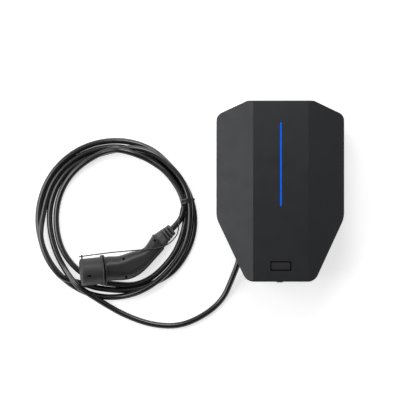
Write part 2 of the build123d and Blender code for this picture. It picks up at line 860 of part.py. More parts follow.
# Fault current sensor: a block on the tray's floor with the lead's cores through its bore
with BuildPart() as fault_sensor:
    with BuildSketch(Plane.XY.offset(tray_back)):
        with Locations((-entry_x, sensor_y)):
            Rectangle(sensor_width, sensor_length)
    extrude(amount=sensor_height)
    with BuildSketch(entry_plane(sensor_y + sensor_length / 2)):
        with Locations((-entry_x, entry_z)):
            Circle(sensor_bore_radius)
    extrude(amount=sensor_length, mode=Mode.SUBTRACT)
    fillet(fault_sensor.edges().filter_by(Axis.Y).group_by(Axis.Z)[-1], radius=sensor_width / 8)
save(fault_sensor.part, "fault_sensor")

# Control board, its pillars, screws and large components
board_hole_x = board_width / 2 - board_pillar_inset
board_hole_y = board_height / 2 - board_pillar_inset
board_points = [
    (x, board_centre_y + y) for x in (-board_hole_x, board_hole_x) for y in (-board_hole_y, board_hole_y)
]
board_top_z = board_z + board_thickness
with BuildPart() as board_pillars:
    with BuildSketch(Plane.XY.offset(tray_back)):
        with Locations(*board_points):
            Circle(board_pillar_radius)
            Circle(board_screw_radius + seat_gap, mode=Mode.SUBTRACT)
    extrude(amount=board_z - tray_back)
save(board_pillars.part, "board_pillars")

with BuildPart() as control_board:
    with BuildSketch(Plane.XY.offset(board_z)):
        with Locations((0, board_centre_y)):
            Rectangle(board_width, board_height)
        with Locations(*board_points):
            Circle(board_screw_radius + seat_gap, mode=Mode.SUBTRACT)
    extrude(amount=board_thickness)
save(control_board.part, "control_board")

save(
    screws(
        board_points,
        board_top_z,
        board_z - tray_back,
        board_screw_radius,
        board_screw_head_radius,
        board_screw_head_height,
    ),
    "board_screws",
)

with BuildPart() as board_transformer:
    with BuildSketch(Plane.XY.offset(board_top_z)):
        with Locations((transformer_x, board_centre_y)):
            Rectangle(transformer_size[0], transformer_size[1])
    extrude(amount=transformer_size[2])
    fillet(board_transformer.edges().filter_by(Axis.Z), radius=transformer_size[0] / 12)
save(board_transformer.part, "board_transformer")

relay_centre_x = relay_first_x + relay_pitch * (relay_count - 1) / 2
with BuildPart() as board_relays:
    with BuildSketch(Plane.XY.offset(board_top_z)):
        with Locations((relay_centre_x, board_centre_y)):
            with GridLocations(relay_pitch, relay_pitch, relay_count, 1):
                Rectangle(relay_size[0], relay_size[1])
    extrude(amount=relay_size[2])
save(board_relays.part, "board_relays")


# Wires
def wire(points, radius):
    """Round wire along straight runs with small bends."""
    with BuildPart(mode=Mode.PRIVATE) as strand:
        with BuildLine() as path:
            FilletPolyline(*points, radius=wire_bend)
        with BuildSketch(Plane(origin=path.line @ 0, z_dir=path.line % 0)):
            Circle(radius)
        sweep(path=path.line)
    return strand.part


cores_bend_y = sensor_y + sensor_length / 2 + wire_bend
contactor_foot_y = rail_centre_y - contactor_length / 2
contactor_top_y = rail_centre_y + contactor_length / 2
terminal_foot_y = rail_centre_y - terminal_length / 2
terminal_top_y = rail_centre_y + terminal_length / 2
core_targets = [(x, contactor_foot_y) for x in contactor_xs] + [(terminal_xs[0], terminal_foot_y)]
core_count = terminal_count
core_step = 360 / core_count
core_angles = [radians(90 + core_step * k) for k in range(core_count)]
core_offsets = sorted((core_circle_radius * cos(a), core_circle_radius * sin(a)) for a in core_angles)
core_parts = []
for (offset_x, offset_z), (target_x, target_y) in zip(core_offsets, core_targets):
    start_x = -entry_x + offset_x
    core_parts.append(
        wire(
            [
                (start_x, lead_end_y, entry_z + offset_z),
                (start_x, cores_bend_y, entry_z + offset_z),
                (target_x, target_y - 2 * wire_bend, wire_z),
                (target_x, target_y + wire_hole_depth - seat_gap, wire_z),
            ],
            core_radius,
        )
    )
with BuildPart() as lead_wires:
    for part in core_parts:
        add(part)
save(lead_wires.part, "lead_wires")

loop_parts = []
for k, x in enumerate(reversed(contactor_xs)):
    loop_y = contactor_top_y + 2 * wire_bend + k * 3 * core_radius
    loop_parts.append(
        wire(
            [
                (x, contactor_top_y - wire_hole_depth + seat_gap, wire_z),
                (x, loop_y, wire_z),
                (terminal_xs[k + 1], loop_y, wire_z),
                (terminal_xs[k + 1], terminal_top_y - wire_hole_depth + seat_gap, wire_z),
            ],
            core_radius,
        )
    )
with BuildPart() as supply_wires:
    for part in loop_parts:
        add(part)
save(supply_wires.part, "supply_wires")

pilot_rise_z = sensor_height + tray_back
pilot_lane_x = terminal_xs[-1] + 1.5 * terminal_pitch
pilot_end_y = board_centre_y - board_height / 2 + 4 * pilot_radius
pilot_start_x = -entry_x + pilot_circle_radius * cos(radians(90 - core_step / 2))
pilot_start_z = entry_z + pilot_circle_radius * sin(radians(90 - core_step / 2))
pilot_wire = wire(
    [
        (pilot_start_x, lead_end_y, pilot_start_z),
        (pilot_start_x, cores_bend_y, pilot_start_z),
        (terminal_xs[0], cores_bend_y, pilot_rise_z),
        (pilot_lane_x, cores_bend_y, pilot_rise_z),
        (pilot_lane_x, pilot_end_y, pilot_rise_z),
        (pilot_lane_x, pilot_end_y, board_top_z),
    ],
    pilot_radius,
)
save(pilot_wire, "pilot_wire")

ribbon_points = [
    (0, board_centre_y, board_top_z),
    (0, board_centre_y, tray_rim_z - lid_cable_slot_width),
    (0, board_centre_y - lid_cable_slot_height, lid_top_z + lid_cable_slot_width),
    (0, board_centre_y - lid_cable_slot_height, led_board_top_z - led_board_thickness),
]
with BuildPart() as led_ribbon:
    with BuildLine() as ribbon_path:
        FilletPolyline(*ribbon_points, radius=wire_bend)
    with BuildSketch(Plane(origin=ribbon_path.line @ 0, x_dir=(1, 0, 0), z_dir=ribbon_path.line % 0)):
        Rectangle(ribbon_width, ribbon_thickness)
    sweep(path=ribbon_path.line)
save(led_ribbon.part, "led_ribbon")

# Connector frame: x back along the nose's axis, y to the inner side of the handle's bend, z up
turn = radians(connector_turn)
tilt = radians(connector_tilt)
connector_plane = Plane(
    origin=connector_place,
    x_dir=(cos(turn) * cos(tilt), sin(turn) * cos(tilt), -sin(tilt)),
    z_dir=(cos(turn) * sin(tilt), sin(turn) * sin(tilt), cos(tilt)),
)


def placed(piece):
    """The piece carried from the connector's own frame to its place on the ground."""
    return piece.moved(connector_plane.location)


def across(x, y, angle):
    """Plane across the handle at a point of its middle line."""
    along_x = cos(radians(angle))
    along_y = sin(radians(angle))
    return Plane(origin=(x, y, 0), x_dir=(-along_y, along_x, 0), z_dir=(along_x, along_y, 0))


# Handle sections: x, y, turn of the middle line, width in the bend's plane, thickness, corner radius
handle_sections = [
    (handle_front_x, 1.7, 0.0, 52.0, 52.0, 24.0),
    (24.0, 1.8, 2.0, 53.0, 50.5, 23.0),
    (48.0, 2.0, 5.0, 55.0, 48.0, 21.0),
    (77.0, 10.5, 15.0, 50.0, 42.0, 18.0),
    (96.6, 21.0, 32.0, 37.5, 39.0, 15.0),
    (114.7, 36.4, 44.0, 35.0, 37.0, 13.0),
    (126.8, 50.5, 32.0, 38.0, 36.0, 13.0),
]


def handle_form(inset):
    """Smooth body through the handle's sections, set in from its outside."""
    with BuildPart(mode=Mode.PRIVATE) as form:
        for x, y, angle, width, thickness, corner in handle_sections:
            with BuildSketch(across(x, y, angle)):
                RectangleRounded(width - 2 * inset, thickness - 2 * inset, corner - inset)
        loft()
    return form.part


handle_screw_points = [(44.5, 20.5), (47.0, -19.5), (116.5, 54.0)]
base_x, base_y, base_angle, base_width, base_thickness, base_corner = handle_sections[-1]
rim_width = base_width + 2 * handle_rim_proud
rim_thickness = base_thickness + 2 * handle_rim_proud
with BuildPart() as handle_body:
    add(handle_form(0))
    with BuildSketch(across(base_x, base_y, base_angle)):
        RectangleRounded(rim_width, rim_thickness, base_corner + handle_rim_proud)
    extrude(amount=-handle_rim_width)
handle_outside = handle_body.part
handle_hollow = handle_form(handle_wall)
split_gap = 0.1

with BuildPart() as panel_line:
    with BuildSketch(Plane.XY):
        with Locations((panel_x, 0)):
            RectangleRounded(panel_length, panel_width, panel_corner_radius)
            RectangleRounded(
                panel_length - 2 * panel_line_width,
                panel_width - 2 * panel_line_width,
                panel_corner_radius - panel_line_width,
                mode=Mode.SUBTRACT,
            )
    extrude(amount=handle_sections[0][4] / 2)
    add(handle_form(panel_line_depth), mode=Mode.SUBTRACT)

with BuildPart() as screw_tower:
    with BuildSketch(Plane.XY.offset(-handle_sections[0][4] / 2)):
        with Locations(*handle_screw_points):
            Circle(handle_screw_boss_radius)
    extrude(amount=handle_sections[0][4])
    add(handle_outside, mode=Mode.INTERSECT)


def handle_half(keep, head_side):
    """One half of the handle: shell and screw towers, cut at the middle plane."""
    with BuildPart(mode=Mode.PRIVATE) as half:
        add(handle_outside)
        add(handle_hollow, mode=Mode.SUBTRACT)
        add(screw_tower.part)
        with BuildSketch(Plane.XY.offset(-handle_sections[0][4] / 2)):
            with Locations(*handle_screw_points):
                Circle(handle_screw_radius + seat_gap)
        extrude(amount=handle_sections[0][4], mode=Mode.SUBTRACT)
        if head_side:
            with BuildSketch(Plane.XY.offset(handle_screw_seat_z)):
                with Locations(*handle_screw_points):
                    Circle(handle_screw_head_radius + seat_gap)
            extrude(amount=handle_sections[0][4], mode=Mode.SUBTRACT)
            add(panel_line.part, mode=Mode.SUBTRACT)
        split(bisect_by=Plane.XY.offset(split_gap / 2 if head_side else 0), keep=keep)
    return half.part


handle_upper = handle_half(Keep.TOP, True)
handle_lower = handle_half(Keep.BOTTOM, False)
save(placed(handle_upper), "handle_shell_upper")
save(placed(handle_lower), "handle_shell_lower")

save(
    placed(
        screws(
            handle_screw_points,
            handle_screw_seat_z,
            2 * handle_screw_seat_z,
            handle_screw_radius,
            handle_screw_head_radius,
            handle_screw_radius,
        )
    ),
    "handle_screws",
)

# Nose with its flat, the carrier inside it, its contacts and its seal
nose_plane = across(0, 0, 0)


def nose_section(radius, flat):
    """Round section with one flat towards the inner side of the bend."""
    with BuildSketch(mode=Mode.PRIVATE) as section:
        Circle(radius)
        with Locations((flat, 0)):
            Rectangle(2 * radius, 2 * radius, align=(Align.MIN, Align.CENTER), mode=Mode.SUBTRACT)
    return section.sketch


nose_outside = nose_section(nose_radius, nose_flat)
spigot_outside = nose_section(nose_spigot_radius, nose_flat)
nose_bore_radius = nose_spigot_radius - nose_wall
nose_bore_flat = nose_flat - nose_wall
nose_bore = nose_section(nose_bore_radius, nose_bore_flat)
carrier_outside = nose_section(nose_bore_radius - seat_gap, nose_bore_flat - seat_gap)

with BuildPart() as connector_nose:
    with BuildSketch(nose_plane.offset(nose_tip_x)):
        add(nose_outside)
    extrude(amount=handle_front_x - nose_tip_x)
    fillet(connector_nose.faces().sort_by(Axis.X)[0].edges(), radius=nose_wall / 3)
    with BuildSketch(nose_plane.offset(handle_front_x)):
        add(spigot_outside)
    extrude(amount=nose_spigot_end_x - handle_front_x)
    with BuildSketch(nose_plane.offset(nose_tip_x)):
        add(nose_bore)
    extrude(amount=nose_spigot_end_x - nose_tip_x, mode=Mode.SUBTRACT)
    with BuildSketch(nose_plane.offset(nose_seal_x - nose_seal_width / 2)):
        Circle(nose_radius + nose_seal_depth)
        Circle(nose_radius - nose_seal_depth, mode=Mode.SUBTRACT)
    extrude(amount=nose_seal_width, mode=Mode.SUBTRACT)
save(placed(connector_nose.part), "connector_nose")

power_points = [(0, -12.5), (0, 0), (0, 12.5), (-10.5, -6.8), (-10.5, 6.8)]
signal_points = [(10.0, -5.5), (10.0, 5.5)]
with BuildPart() as contact_carrier:
    with BuildSketch(nose_plane.offset(carrier_tip_x)):
        add(carrier_outside)
    extrude(amount=carrier_end_x - carrier_tip_x)
    with BuildSketch(nose_plane.offset(carrier_tip_x)):
        with Locations(*power_points):
            Circle(contact_bore_radius)
        with Locations(*signal_points):
            Circle(contact_bore_small_radius)
    extrude(amount=carrier_end_x - carrier_tip_x, mode=Mode.SUBTRACT)
save(placed(contact_carrier.part), "contact_carrier")

with BuildPart() as contact_sleeves:
    with BuildSketch(nose_plane.offset(carrier_tip_x + contact_recess)):
        with Locations(*power_points):
            Circle(contact_bore_radius - seat_gap)
        with Locations(*signal_points):
            Circle(contact_bore_small_radius - seat_gap)
    extrude(amount=carrier_end_x - carrier_tip_x)
    with BuildSketch(nose_plane.offset(carrier_tip_x + contact_recess)):
        with Locations(*power_points):
            Circle(contact_bore_radius - seat_gap - contact_wall)
        with Locations(*signal_points):
            Circle(contact_bore_small_radius - seat_gap - contact_wall)
    extrude(amount=(carrier_end_x - carrier_tip_x) / 2, mode=Mode.SUBTRACT)
save(placed(contact_sleeves.part), "contact_sleeves")

cap_bore_radius = cap_outer_radius - cap_wall
with BuildPart() as nose_seal:
    with BuildSketch(nose_plane.offset(nose_seal_x - nose_seal_width / 2 + seat_gap)):
        Circle(cap_bore_radius - slide_gap)
        Circle(nose_radius - nose_seal_depth + seat_gap, mode=Mode.SUBTRACT)
    extrude(amount=nose_seal_width - 2 * seat_gap)
    with BuildSketch(nose_plane.offset(nose_seal_x - nose_seal_width)):
        with Locations((nose_flat - nose_seal_depth, 0)):
            Rectangle(2 * nose_radius, 2 * nose_radius, align=(Align.MIN, Align.CENTER))
    extrude(amount=2 * nose_seal_width, mode=Mode.SUBTRACT)
save(placed(nose_seal.part), "nose_seal")

# Protective cap: a turned cup with a bead at its mouth, a domed end and an eye for the tether
cap_profile = [
    (cap_mouth_x, cap_bore_radius),
    (cap_mouth_x, cap_bead_radius),
    (cap_mouth_x - cap_bead_width, cap_bead_radius),
    (cap_mouth_x - cap_bead_width, cap_outer_radius),
    (cap_end_x, cap_outer_radius),
    (cap_end_x, 0),
    (cap_end_x + cap_wall, 0),
    (cap_end_x + cap_wall, cap_bore_radius),
]
cap_eye_root = cap_eye_y - cap_outer_radius + cap_wall
cap_eye_hole_radius = tether_diameter / 2 + slide_gap
mark_up = (0, -sin(radians(cap_mark_angle)), cos(radians(cap_mark_angle)))
mark_origin = (cap_mark_x, mark_up[1] * cap_outer_radius, mark_up[2] * cap_outer_radius)
with BuildPart() as protective_cap:
    with BuildSketch(Plane.XY):
        with BuildLine():
            Polyline(*cap_profile, close=True)
        make_face()
    revolve(axis=Axis.X)
    round_edges = protective_cap.edges().filter_by(GeomType.CIRCLE)
    bead_edges = round_edges.filter_by(lambda edge: abs(edge.radius - cap_bead_radius) < seat_gap)
    fillet(bead_edges, radius=cap_edge_radius)
    end_edge = protective_cap.edges().filter_by(GeomType.CIRCLE).group_by(Axis.X)[0]
    fillet(end_edge, radius=cap_end_radius)
    with BuildSketch(Plane(origin=mark_origin, x_dir=(1, 0, 0), z_dir=mark_up)):
        Rectangle(cap_mark_length, cap_mark_width)
    extrude(amount=-cap_mark_depth, mode=Mode.SUBTRACT)
    with BuildSketch(nose_plane.offset(cap_eye_x - cap_eye_thickness / 2)):
        with Locations((cap_eye_y, 0)):
            Circle(cap_eye_radius)
            Rectangle(cap_eye_root, 2 * cap_eye_radius, align=(Align.MAX, Align.CENTER))
            Circle(cap_eye_hole_radius, mode=Mode.SUBTRACT)
    extrude(amount=cap_eye_thickness)
save(placed(protective_cap.part), "protective_cap")

# Strain relief boot, slotted from both sides down to its core
tip_x, tip_y = boot_tip
boot_direction = Vector(cos(radians(boot_turn)), sin(radians(boot_turn)), 0)


def along_boot(distance):
    """Point on the boot's axis at a distance back from its tip."""
    return (tip_x - boot_direction.X * distance, tip_y - boot_direction.Y * distance)


boot_base_width = base_width - 2 * boot_base_inset
boot_base_thickness = base_thickness - 2 * boot_base_inset
boot_slot_xs = [boot_slot_first + boot_slot_pitch * k for k in range(boot_slot_count)]
with BuildPart() as lead_boot:
    with BuildSketch(across(base_x, base_y, base_angle)):
        RectangleRounded(boot_base_width, boot_base_thickness, base_corner - boot_base_inset)
    with BuildSketch(across(tip_x, tip_y, boot_face_turn)):
        RectangleRounded(boot_tip_width, boot_tip_thickness, boot_tip_radius)
    loft()
    for distance in boot_slot_xs:
        slot_x, slot_y = along_boot(distance)
        with BuildSketch(across(slot_x, slot_y, boot_face_turn)):
            Rectangle(2 * base_width, 2 * base_thickness)
            Rectangle(boot_spine_width, 2 * base_thickness, mode=Mode.SUBTRACT)
            Circle(boot_core_radius, mode=Mode.SUBTRACT)
        extrude(amount=boot_slot_width / 2, both=True, mode=Mode.SUBTRACT)
    with BuildSketch(across(tip_x, tip_y, boot_turn)):
        Circle(lead_radius + seat_gap)
    extrude(amount=tail_inside, both=True, mode=Mode.SUBTRACT)
save(placed(lead_boot.part), "lead_boot")

# Lead inside the handle, and the grip that the two halves close on it
with BuildPart() as lead_tail:
    with BuildSketch(across(tip_x, tip_y, boot_turn)):
        Circle(lead_radius)
    extrude(amount=-tail_inside)
save(placed(lead_tail.part), "lead_tail")

grip_x, grip_y = along_boot(grip_back)
grip_room = handle_form(handle_wall + seat_gap)
with BuildPart() as lead_grip:
    with BuildSketch(across(grip_x, grip_y, boot_turn)):
        Rectangle(base_width, base_thickness)
        Circle(lead_radius + seat_gap, mode=Mode.SUBTRACT)
    extrude(amount=grip_length / 2, both=True)
    add(grip_room, mode=Mode.INTERSECT)
save(placed(lead_grip.part), "lead_grip")


# Lead on the ground
lead_route = [
    (-entry_x, nut_end_y, entry_z),
    (-entry_x, nut_end_y - 13.6, entry_z),
    (-entry_x - 4.0, nut_end_y - 36.6, entry_z - 1.5),
    (-entry_x - 18.0, nut_end_y - 72.6, entry_z - 12.5),
    (-122.0, -236.0, 6.5),
    (-160.0, -270.0, 6.5),
    (-217.0, -296.0, 6.5),
    (-279.0, -292.5, 6.5),
    (-335.0, -272.5, 6.5),
    (-378.0, -248.5, 8.5),
    (-407.0, -229.0, 20.4),
    (-432.0, -208.5, 20.4),
    (-449.5, -190.0, 13.0),
]
save(tube("charging_lead", lead_route, lead_radius, route_radii(lead_route)), "charging_lead")

boot_exit = connector_plane.from_local_coords(Vector(tip_x, tip_y, 0))
exit_direction = connector_plane.from_local_coords(
    Vector(tip_x + boot_direction.X, tip_y + boot_direction.Y, 0)
) - boot_exit
connector_route = [
    tuple(boot_exit),
    tuple(boot_exit + exit_direction * 14.5),
    (-216.7, -59.9, 12.4),
    (-211.4, -46.5, 14.1),
    (-207.5, -31.5, 17.0),
]
save(tube("connector_lead", connector_route, lead_radius, route_radii(connector_route)), "connector_lead")

# Coil: one solid of its outer shape, a full ring on the ground and a crescent of crossing turns on it
coil_ring_outer = [178.0, 173.5, 172.0, 177.0, 179.0, 178.5, 177.0, 179.5, 181.0, 178.5, 172.5, 176.0]
coil_ring_inner = [146.0, 146.0, 145.5, 140.5, 136.0, 130.0, 126.0, 129.5, 135.0, 141.0, 144.5, 143.5]
crescent_angles = [-75, -45, -15, 15, 45, 75, 105, 130]
crescent_outer = [173.0, 171.0, 167.5, 171.0, 172.0, 166.5, 153.5, 147.0]
crescent_inner = [160.0, 158.0, 152.0, 143.5, 146.0, 145.5, 140.5, 135.5]


def on_coil(radius, angle):
    """Point of the ground at a radius and an angle round the coil's centre."""
    return (
        coil_centre[0] + radius * cos(radians(angle)),
        coil_centre[1] + radius * sin(radians(angle)),
    )


ring_step = 360 / len(coil_ring_outer)
tie_centre = on_coil(between(tie_inner_radius, tie_outer_radius), tie_angle)
tie_height = coil_upper_height + seat_gap + tie_thickness
tie_plane = Plane(
    origin=(tie_centre[0], tie_centre[1], tie_height / 2),
    x_dir=(cos(radians(tie_angle)), sin(radians(tie_angle)), 0),
    z_dir=(sin(radians(tie_angle)), -cos(radians(tie_angle)), 0),
)
tie_hole_width = tie_outer_radius - tie_inner_radius - 2 * tie_thickness
tie_hole_height = tie_height - 2 * tie_thickness

with BuildPart() as tie_groove:
    with BuildSketch(tie_plane.offset(-tie_width / 2 - seat_gap)):
        Rectangle(2 * tie_hole_width, 2 * tie_hole_height)
        RectangleRounded(tie_hole_width, tie_hole_height, tie_thickness, mode=Mode.SUBTRACT)
    extrude(amount=tie_width + 2 * seat_gap)

with BuildPart() as lead_coil:
    with BuildSketch():
        with BuildLine():
            Spline(*[on_coil(r, k * ring_step) for k, r in enumerate(coil_ring_outer)], periodic=True)
        make_face()
        with BuildLine():
            Spline(*[on_coil(r, k * ring_step) for k, r in enumerate(coil_ring_inner)], periodic=True)
        make_face(mode=Mode.SUBTRACT)
    extrude(amount=coil_lower_height)
    with BuildSketch(Plane.XY.offset(ground_lead_z)):
        with BuildLine():
            outer = Spline(*[on_coil(r, a) for r, a in zip(crescent_outer, crescent_angles)])
            inner = Spline(*[on_coil(r, a) for r, a in zip(crescent_inner, crescent_angles)])
            Line(outer @ 0, inner @ 0)
            Line(outer @ 1, inner @ 1)
        make_face()
    extrude(amount=coil_upper_height - ground_lead_z)
    add(tie_groove.part, mode=Mode.SUBTRACT)
save(lead_coil.part, "lead_coil")

with BuildPart() as cable_tie:
    with BuildSketch(tie_plane.offset(-tie_width / 2)):
        RectangleRounded(
            tie_hole_width + 2 * tie_thickness - seat_gap,
            tie_hole_height + 2 * tie_thickness - seat_gap,
            2 * tie_thickness,
        )
        RectangleRounded(
            tie_hole_width + seat_gap, tie_hole_height + seat_gap, tie_thickness, mode=Mode.SUBTRACT
        )
    extrude(amount=tie_width)
save(cable_tie.part, "cable_tie")

# Tether from the cap's eye along the handle to the tie
tether_bend = Vector(-385.4, -134.5, 45.0)
tether_eye = connector_plane.from_local_coords(Vector(cap_eye_x, cap_eye_y, 0))
tether_start = tether_eye + (tether_eye - tether_bend).normalized() * tether_stub
tether_route = [
    tuple(tether_start),
    tuple(tether_bend),
    (-335.4, -129.5, 45.0),
    (-292.0, -126.0, 44.5),
    (-259.6, -122.5, 40.5),
    (-242.4, -115.4, 33.5),
    (-229.5, -103.6, 27.0),
    (-220.3, -90.5, 23.0),
    (-218.5, -66.0, 24.0),
    (-215.0, -37.0, 27.2),
    (-209.6, -25.9, 27.2),
]
save(tube("cap_tether", tether_route, tether_diameter / 2, route_radii(tether_route)), "cap_tether")
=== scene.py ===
"""Looks of an EV wallbox that lies on its back with its charging lead wound beside it."""

import json
from math import cos, pi, radians, sin

import bmesh
import bpy
from mathutils import Matrix, Vector


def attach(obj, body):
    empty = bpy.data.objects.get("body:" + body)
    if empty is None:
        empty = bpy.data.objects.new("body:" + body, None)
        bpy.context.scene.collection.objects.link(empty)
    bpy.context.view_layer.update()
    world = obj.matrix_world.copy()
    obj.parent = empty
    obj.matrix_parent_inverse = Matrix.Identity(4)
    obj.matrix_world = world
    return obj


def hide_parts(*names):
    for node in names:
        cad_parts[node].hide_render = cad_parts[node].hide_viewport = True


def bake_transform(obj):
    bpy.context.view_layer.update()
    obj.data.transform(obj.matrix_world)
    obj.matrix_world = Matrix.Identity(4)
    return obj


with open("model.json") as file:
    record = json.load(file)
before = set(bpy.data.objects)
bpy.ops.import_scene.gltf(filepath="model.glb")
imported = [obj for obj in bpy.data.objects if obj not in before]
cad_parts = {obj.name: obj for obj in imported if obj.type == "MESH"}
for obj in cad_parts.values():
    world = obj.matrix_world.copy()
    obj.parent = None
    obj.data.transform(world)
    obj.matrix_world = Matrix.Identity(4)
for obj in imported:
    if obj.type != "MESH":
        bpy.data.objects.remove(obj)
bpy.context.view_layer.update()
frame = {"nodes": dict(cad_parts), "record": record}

millimetre = 0.001
plain_white = (1, 1, 1, 1)

# Sizes and places that the part's source has too
strip_width = 4.5 * millimetre
lamp_pitch = 11.0 * millimetre
coil_centre = (-355.9, -59.1)
tie_angle = radians(14.0)
tie_top = 27.1

# Connector's own frame, as in the part's source
connector_place = Vector((-383.0, -171.2, 41.0)) * millimetre
connector_turn = radians(5.4)
connector_tilt = radians(9.7)
connector_back = Vector((
    cos(connector_turn) * cos(connector_tilt),
    sin(connector_turn) * cos(connector_tilt),
    -sin(connector_tilt),
))
connector_side = Vector((-sin(connector_turn), cos(connector_turn), 0))


def on_connector(x, y):
    """Place of a point in the connector's middle plane, given in its own frame in millimetres."""
    return connector_place + (connector_back * x + connector_side * y) * millimetre


# Boot at the end of the connector's handle, with the slots across it
boot_tip = (158.4, 74.5)
boot_turn = radians(39.6)
boot_face_turn = radians(33.0)
boot_slot_first = 7.0
boot_slot_pitch = 7.8
boot_slot_count = 3


def on_boot(distance):
    """Place on the boot's axis at a distance out from its tip, in millimetres."""
    return on_connector(boot_tip[0] + distance * cos(boot_turn), boot_tip[1] + distance * sin(boot_turn))


boot_slots = [on_boot(-boot_slot_first - boot_slot_pitch * k) for k in range(boot_slot_count)]
boot_slot_direction = connector_back * cos(boot_face_turn) + connector_side * sin(boot_face_turn)

# Bands of painted shade, in millimetres: one round the bead of the cap's mouth, and one over each slot of the
# boot
cap_shade_band_x = 0.4
cap_shade_band_width = 3.4
boot_slot_shade_width = 2.7

# Boxes of painted shade on a finish, in millimetres: over the plate's recess and over the cap's mark
badge_shade_place = (0.0, -159.4, 114.0)
badge_shade_size = (44.4, 20.0, 6.0)
cap_mark_shade_place = (-411.0, -181.9, 65.0)
cap_mark_shade_size = (8.3, 4.4, 20.0)

# Unevenness of the finishes
noise_roughness = 0.55
noise_start = 0.3
noise_end = 0.7
smudges_per_cloud = 3
gloss_sway = 0.1
brushing_scale = 900.0
brushed_tone = 0.85
brushed_gloss_sway = 0.2

# What a shader's sockets come to where shade is painted on a finish
painted_shade_levels = {"Base Color": 0.001, "Specular Tint": 0.1}

# Lit strip: how it looks unlit, and how its glow falls off towards its sides and along it
unlit_tone = (0.004, 0.01, 0.05)
unlit_gloss = 0.3
unlit_sheen = 0.15
glow_full_share = 0.3
glow_end_share = 0.48
glow_at_end = 0.04
glow_wave = 2 * lamp_pitch
glow_dip = 0.92
# At a scale of one the wave node turns by this many radians in a metre
wave_node_rate = 20


# Finishes
def surface(name):
    """New material with its node tree, its shader and a feed of object coordinates."""
    material = bpy.data.materials.new(name)
    material.use_nodes = True
    tree = material.node_tree
    shader = tree.nodes["Principled BSDF"]
    place = tree.nodes.new("ShaderNodeTexCoord")
    return material, tree, shader, place.outputs["Object"]


def noise(tree, place, scale, detail):
    """Value of a noise pattern whose scale is in repeats per metre."""
    node = tree.nodes.new("ShaderNodeTexNoise")
    node.inputs["Scale"].default_value = scale
    node.inputs["Detail"].default_value = detail
    node.inputs["Roughness"].default_value = noise_roughness
    tree.links.new(place, node.inputs["Vector"])
    return node.outputs["Fac"]


def spread(tree, value, low, high, start=noise_start, end=noise_end):
    """The value carried from the noise's usual reach, or another one, to a reach of its own."""
    node = tree.nodes.new("ShaderNodeMapRange")
    node.inputs["From Min"].default_value = start
    node.inputs["From Max"].default_value = end
    node.inputs["To Min"].default_value = low
    node.inputs["To Max"].default_value = high
    tree.links.new(value, node.inputs["Value"])
    return node.outputs["Result"]


def tinted(tree, value, dark, light):
    """Colour between a dark and a light tone, led by a value."""
    node = tree.nodes.new("ShaderNodeMix")
    node.data_type = "RGBA"
    node.inputs["A"].default_value = (*dark, 1)
    node.inputs["B"].default_value = (*light, 1)
    tree.links.new(value, node.inputs["Factor"])
    return node.outputs["Result"]


def reckoned(tree, operation, *values):
    """Result of one sum on values, each of them a socket or a number."""
    node = tree.nodes.new("ShaderNodeMath")
    node.operation = operation
    for socket, value in zip(node.inputs, values):
        if isinstance(value, bpy.types.NodeSocket):
            tree.links.new(value, socket)
        else:
            socket.default_value = value
    return node.outputs[0]


def axes_of(tree, place):
    """The three coordinates of a place."""
    node = tree.nodes.new("ShaderNodeSeparateXYZ")
    tree.links.new(place, node.inputs[0])
    return node.outputs


def relief(tree, shader, value, depth):
    """Fine relief on the shader's normal, with its depth in metres."""
    node = tree.nodes.new("ShaderNodeBump")
    node.inputs["Distance"].default_value = depth
    tree.links.new(value, node.inputs["Height"])
    tree.links.new(node.outputs["Normal"], shader.inputs["Normal"])


def moulded(name, tone, gloss, grain, cloud=0.15, cloud_scale=14.0):
    """Moulded plastic or rubber: a tone that clouds a little, uneven gloss and a fine grain.

    The grain is its repeats per metre and its depth in metres.
    """
    material, tree, shader, place = surface(name)
    clouds = noise(tree, place, cloud_scale, detail=4.0)
    steps = spread(tree, clouds, 0.0, 1.0)
    dark = [c * (1 - cloud) for c in tone]
    light = [c * (1 + cloud) for c in tone]
    tree.links.new(tinted(tree, steps, dark, light), shader.inputs["Base Color"])
    smudges = noise(tree, place, cloud_scale * smudges_per_cloud, detail=3.0)
    uneven_gloss = spread(tree, smudges, gloss * (1 - gloss_sway), gloss * (1 + gloss_sway))
    tree.links.new(uneven_gloss, shader.inputs["Roughness"])
    grain_scale, grain_depth = grain
    relief(tree, shader, noise(tree, place, grain_scale, detail=2.0), grain_depth)
    return material


def shade_painted_on(material, mask):
    """The material turned black and dull where the mask is one, as painted shade."""
    tree = material.node_tree
    shader = tree.nodes["Principled BSDF"]
    for label, dark in painted_shade_levels.items():
        mixed = tree.nodes.new("ShaderNodeMix")
        mixed.data_type = "RGBA"
        mixed.inputs["A"].default_value = plain_white
        mixed.inputs["B"].default_value = (dark, dark, dark, 1)
        if shader.inputs[label].is_linked:
            tree.links.new(shader.inputs[label].links[0].from_socket, mixed.inputs["A"])
        tree.links.new(mask, mixed.inputs["Factor"])
        tree.links.new(mixed.outputs["Result"], shader.inputs[label])
    return material


def with_recess_shade_painted(material, place, size):
    """The material with painted shade inside a box, given as its middle and its size in millimetres."""
    tree = material.node_tree
    axes = axes_of(tree, tree.nodes["Texture Coordinate"].outputs["Object"])
    mask = 1.0
    for axis, middle, reach in zip(axes, place, size):
        inside = reckoned(tree, "COMPARE", axis, middle * millimetre, reach / 2 * millimetre)
        mask = reckoned(tree, "MULTIPLY", inside, mask)
    return shade_painted_on(material, mask)


def with_shade_bands_painted(material, places, direction, width):
    """The material with a band of painted shade square to a direction through each of the places."""
    tree = material.node_tree
    along = tree.nodes.new("ShaderNodeVectorMath")
    along.operation = "DOT_PRODUCT"
    along.inputs[1].default_value = direction
    tree.links.new(tree.nodes["Texture Coordinate"].outputs["Object"], along.inputs[0])
    distance = along.outputs["Value"]
    mask = 0.0
    for place in places:
        inside = reckoned(tree, "COMPARE", distance, place.dot(direction), width / 2 * millimetre)
        mask = reckoned(tree, "MAXIMUM", inside, mask)
    return shade_painted_on(material, mask)


